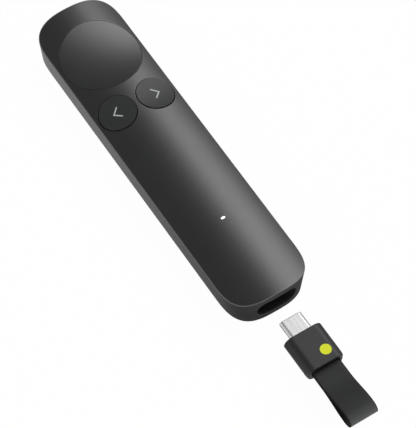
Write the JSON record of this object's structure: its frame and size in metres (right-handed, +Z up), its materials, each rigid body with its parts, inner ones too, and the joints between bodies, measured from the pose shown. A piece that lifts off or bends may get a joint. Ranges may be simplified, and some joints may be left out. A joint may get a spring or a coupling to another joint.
{
  "type": "wireless presentation clicker",
  "caption": "Slim crowned handset with a dished round pointer pad, small arrow keys, a status light, and a plug-in receiver on a short strap that slides into a bay in its end.",
  "frame": {"origin": "middle of the flat underside of the handset, at the centre of the plain strip that hides its screws", "axes": "+Y along the handset towards the round pointer pad, -Y towards the receiver bay and the pulled-out receiver, +Z up out of the key face, +X to the right with +Y pointing away"},
  "size_m": [0.0304, 0.1797, 0.0153],
  "materials": {
    "housing_plastic": "satin moulded charcoal plastic",
    "key_plastic": "soft-touch charcoal coating",
    "mark_grey": "pale grey second-shot moulding",
    "light_lens": "clear white light pipe, lit",
    "strip_film": "plain matte film",
    "screw_steel": "zinc-plated steel",
    "board_laminate": "solder-masked glass laminate",
    "chip_black": "moulded epoxy",
    "switch_black": "moulded switch body",
    "plunger_ivory": "moulded acetal",
    "shield_tin": "tin-plated steel sheet",
    "antenna_ceramic": "ceramic",
    "led_lens": "clear epoxy over phosphor",
    "bay_black": "matte black moulding",
    "battery_foil": "laminated foil pouch",
    "pad_adhesive": "foam adhesive",
    "connector_ivory": "moulded nylon",
    "lead_insulation": "wire insulation",
    "motor_steel": "drawn steel",
    "rotor_brass": "brass weight",
    "receiver_plastic": "matte moulded charcoal plastic",
    "plug_metal": "satin nickel-plated steel",
    "contact_gold": "gold flash",
    "badge_yellow": "yellow-green enamel",
    "strap_webbing": "fine flat woven tape"
  },
  "bodies": {
    "handset": {"upper_housing": "housing_plastic", "bay_end": "housing_plastic", "bottom_cover": "housing_plastic", "cover_strip": "strip_film", "cover_screws": "screw_steel", "light_pipe": "light_lens", "main_board": "board_laminate", "board_screws": "screw_steel", "pointer_switch": "switch_black", "back_switch": "switch_black", "next_switch": "switch_black", "radio_chip": "chip_black", "shield_can": "shield_tin", "antenna": "antenna_ceramic", "motion_sensor": "chip_black", "status_led": "led_lens", "usb_socket": "shield_tin", "socket_tongue": "bay_black", "dock_sleeve": "bay_black", "battery_cell": "battery_foil", "battery_pad": "pad_adhesive", "battery_connector": "connector_ivory", "battery_leads": "lead_insulation", "motor_base": "motor_steel", "motor_can": "motor_steel", "motor_shaft": "motor_steel"},
    "pointer_pad": {"pointer_key": "housing_plastic"},
    "back_button": {"back_key": "key_plastic", "back_mark": "mark_grey"},
    "next_button": {"next_key": "key_plastic", "next_mark": "mark_grey"},
    "pointer_stem": {"pointer_plunger": "plunger_ivory"},
    "back_stem": {"back_plunger": "plunger_ivory"},
    "next_stem": {"next_plunger": "plunger_ivory"},
    "receiver": {"receiver_shell": "receiver_plastic", "receiver_nose": "receiver_plastic", "receiver_board": "board_laminate", "receiver_chip": "chip_black", "plug_shell": "plug_metal", "plug_insulator": "bay_black", "plug_contacts": "contact_gold", "receiver_badge": "badge_yellow", "strap_loop": "strap_webbing", "strap_pins": "screw_steel"},
    "motor_weight": {"motor_rotor": "rotor_brass"}
  },
  "joints": [
    {"name": "pointer_press", "type": "slide", "parent": "handset", "child": "pointer_pad", "axis": [0, 0, -1], "range_m": [0, 0.0004], "stiffness_N_per_m": 1200, "springref_m": -0.0008},
    {"name": "back_press", "type": "slide", "parent": "handset", "child": "back_button", "axis": [0, 0, -1], "range_m": [0, 0.0004], "stiffness_N_per_m": 1200, "springref_m": -0.0008},
    {"name": "next_press", "type": "slide", "parent": "handset", "child": "next_button", "axis": [0, 0, -1], "range_m": [0, 0.0004], "stiffness_N_per_m": 1200, "springref_m": -0.0008},
    {"name": "pointer_plunge", "type": "slide", "parent": "handset", "child": "pointer_stem", "axis": [0, 0, -1], "range_m": [0, 0.0004]},
    {"name": "back_plunge", "type": "slide", "parent": "handset", "child": "back_stem", "axis": [0, 0, -1], "range_m": [0, 0.0004]},
    {"name": "next_plunge", "type": "slide", "parent": "handset", "child": "next_stem", "axis": [0, 0, -1], "range_m": [0, 0.0004]},
    {"name": "receiver_dock", "type": "slide", "parent": "handset", "child": "receiver", "axis": [0, 1, 0], "range_m": [0, 0.02757]},
    {"name": "motor_spin", "type": "hinge", "parent": "handset", "child": "motor_weight", "pos_m": [0, 0.0358, 0.003], "axis": [0, 0, 1], "continuous": true}
  ],
  "couplings": [
    {"joint": "pointer_plunge", "follows": "pointer_press", "ratio": 1},
    {"joint": "back_plunge", "follows": "back_press", "ratio": 1},
    {"joint": "next_plunge", "follows": "next_press", "ratio": 1}
  ]
}
